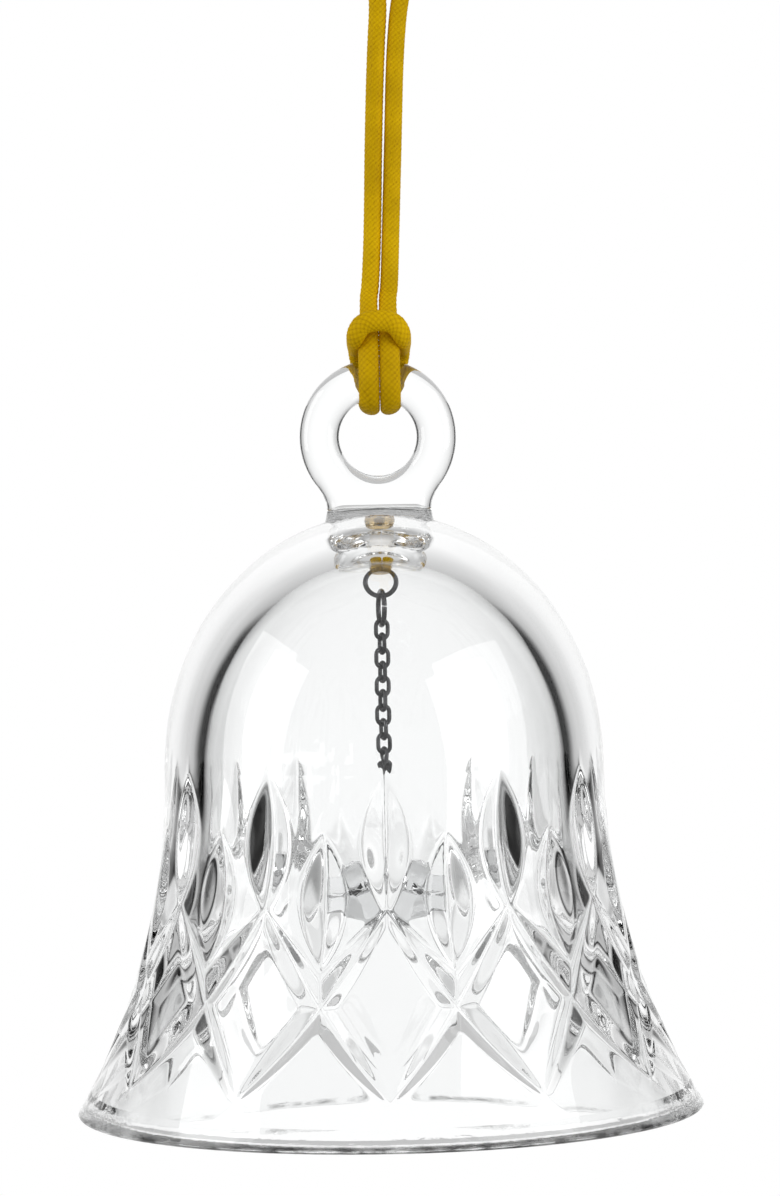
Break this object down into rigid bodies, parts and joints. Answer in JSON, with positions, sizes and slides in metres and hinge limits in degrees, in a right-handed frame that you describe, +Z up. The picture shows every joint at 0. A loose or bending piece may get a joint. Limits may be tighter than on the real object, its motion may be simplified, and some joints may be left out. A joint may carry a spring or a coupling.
{
  "type": "glass bell",
  "caption": "Hanging cut-glass bell with a loop handle, a bead clapper on a fine chain, and a knotted cord to hang it by.",
  "frame": {"origin": "the point that bears on the hook, between the two strands of cord, under the knot", "axes": "+Z up; the bell's axis is parallel to Z and 2.4 mm to -X of the origin; the loop handle's flat face looks along -Y"},
  "size_m": [0.0618, 0.0618, 0.1349],
  "materials": {
    "cut_glass": "clear, polished, with polished wheel cuts",
    "cement": "amber cement",
    "dark_steel": "darkened wire",
    "bright_steel": "plated wire",
    "yellow_cord": "waxed braid"
  },
  "bodies": {
    "cord": {"cord_strand_left": "yellow_cord", "cord_strand_right": "yellow_cord", "cord_knot": "yellow_cord", "cord_tail_left": "yellow_cord", "cord_tail_right": "yellow_cord"},
    "hitch": {"cord_hitch": "yellow_cord"},
    "bell": {"bell_shell": "cut_glass", "loop_handle": "cut_glass", "anchor_cement": "cement", "anchor_eye": "dark_steel"},
    "jump_ring": {"jump_ring": "bright_steel"},
    "chain_link_01": {"chain_link_01": "bright_steel"},
    "chain_link_02": {"chain_link_02": "bright_steel"},
    "chain_link_03": {"chain_link_03": "bright_steel"},
    "chain_link_04": {"chain_link_04": "bright_steel"},
    "chain_link_05": {"chain_link_05": "bright_steel"},
    "chain_link_06": {"chain_link_06": "bright_steel"},
    "chain_link_07": {"chain_link_07": "bright_steel"},
    "chain_link_08": {"chain_link_08": "bright_steel"},
    "chain_link_09": {"chain_link_09": "bright_steel"},
    "chain_link_10": {"chain_link_10": "bright_steel"},
    "chain_link_11": {"chain_link_11": "bright_steel"},
    "chain_link_12": {"chain_link_12": "bright_steel"},
    "chain_link_13": {"chain_link_13": "bright_steel"},
    "chain_link_14": {"chain_link_14": "bright_steel"},
    "chain_link_15": {"chain_link_15": "bright_steel"},
    "clapper": {"clapper_pin": "bright_steel"},
    "bead": {"clapper_bead": "cut_glass"}
  },
  "joints": [
    {"name": "cord_side_swing", "type": "hinge", "parent": "cord", "child": "hitch", "pos_m": [-0.0024, 0, -0.0402], "axis": [0, 1, 0], "range_deg": [-15, 15]},
    {"name": "bell_front_swing", "type": "hinge", "parent": "hitch", "child": "bell", "pos_m": [-0.0024, 0, -0.04886], "axis": [1, 0, 0], "range_deg": [-15, 15]},
    {"name": "jump_ring_swing", "type": "hinge", "parent": "bell", "child": "jump_ring", "pos_m": [-0.0024, 0, -0.07035], "axis": [1, 0, 0], "range_deg": [-12, 12]},
    {"name": "chain_link_01_swing", "type": "hinge", "parent": "jump_ring", "child": "chain_link_01", "pos_m": [-0.0024, 0, -0.07341], "axis": [-0.1736, 0.9848, 0], "range_deg": [-12, 12]},
    {"name": "chain_link_02_swing", "type": "hinge", "parent": "chain_link_01", "child": "chain_link_02", "pos_m": [-0.0024, 0, -0.0748], "axis": [0.9272, 0.3746, 0], "range_deg": [-1.4, 1.4]},
    {"name": "chain_link_03_swing", "type": "hinge", "parent": "chain_link_02", "child": "chain_link_03", "pos_m": [-0.0024, 0, -0.07623], "axis": [-0.3746, 0.9272, 0], "range_deg": [-1.4, 1.4]},
    {"name": "chain_link_04_swing", "type": "hinge", "parent": "chain_link_03", "child": "chain_link_04", "pos_m": [-0.0024, 0, -0.07766], "axis": [0.9272, 0.3746, 0], "range_deg": [-1.4, 1.4]},
    {"name": "chain_link_05_swing", "type": "hinge", "parent": "chain_link_04", "child": "chain_link_05", "pos_m": [-0.0024, 0, -0.07909], "axis": [-0.3746, 0.9272, 0], "range_deg": [-1.4, 1.4]},
    {"name": "chain_link_06_swing", "type": "hinge", "parent": "chain_link_05", "child": "chain_link_06", "pos_m": [-0.0024, 0, -0.08052], "axis": [0.9272, 0.3746, 0], "range_deg": [-1.4, 1.4]},
    {"name": "chain_link_07_swing", "type": "hinge", "parent": "chain_link_06", "child": "chain_link_07", "pos_m": [-0.0024, 0, -0.08195], "axis": [-0.3746, 0.9272, 0], "range_deg": [-1.4, 1.4]},
    {"name": "chain_link_08_swing", "type": "hinge", "parent": "chain_link_07", "child": "chain_link_08", "pos_m": [-0.0024, 0, -0.08338], "axis": [0.9272, 0.3746, 0], "range_deg": [-1.4, 1.4]},
    {"name": "chain_link_09_swing", "type": "hinge", "parent": "chain_link_08", "child": "chain_link_09", "pos_m": [-0.0024, 0, -0.08481], "axis": [-0.3746, 0.9272, 0], "range_deg": [-1.4, 1.4]},
    {"name": "chain_link_10_swing", "type": "hinge", "parent": "chain_link_09", "child": "chain_link_10", "pos_m": [-0.0024, 0, -0.08624], "axis": [0.9272, 0.3746, 0], "range_deg": [-1.4, 1.4]},
    {"name": "chain_link_11_swing", "type": "hinge", "parent": "chain_link_10", "child": "chain_link_11", "pos_m": [-0.0024, 0, -0.08767], "axis": [-0.3746, 0.9272, 0], "range_deg": [-1.4, 1.4]},
    {"name": "chain_link_12_swing", "type": "hinge", "parent": "chain_link_11", "child": "chain_link_12", "pos_m": [-0.0024, 0, -0.0891], "axis": [0.9272, 0.3746, 0], "range_deg": [-1.4, 1.4]},
    {"name": "chain_link_13_swing", "type": "hinge", "parent": "chain_link_12", "child": "chain_link_13", "pos_m": [-0.0024, 0, -0.09053], "axis": [-0.3746, 0.9272, 0], "range_deg": [-1.4, 1.4]},
    {"name": "chain_link_14_swing", "type": "hinge", "parent": "chain_link_13", "child": "chain_link_14", "pos_m": [-0.0024, 0, -0.09196], "axis": [0.9272, 0.3746, 0], "range_deg": [-1.4, 1.4]},
    {"name": "chain_link_15_swing", "type": "hinge", "parent": "chain_link_14", "child": "chain_link_15", "pos_m": [-0.0024, 0, -0.09339], "axis": [-0.3746, 0.9272, 0], "range_deg": [-1.4, 1.4]},
    {"name": "clapper_swing", "type": "hinge", "parent": "chain_link_15", "child": "clapper", "pos_m": [-0.0024, 0, -0.09482], "axis": [0.9272, 0.3746, 0], "range_deg": [-1.4, 1.4]},
    {"name": "bead_spin", "type": "hinge", "parent": "clapper", "child": "bead", "pos_m": [-0.0024, 0, -0.0996], "axis": [0, 0, 1], "continuous": true}
  ]
}
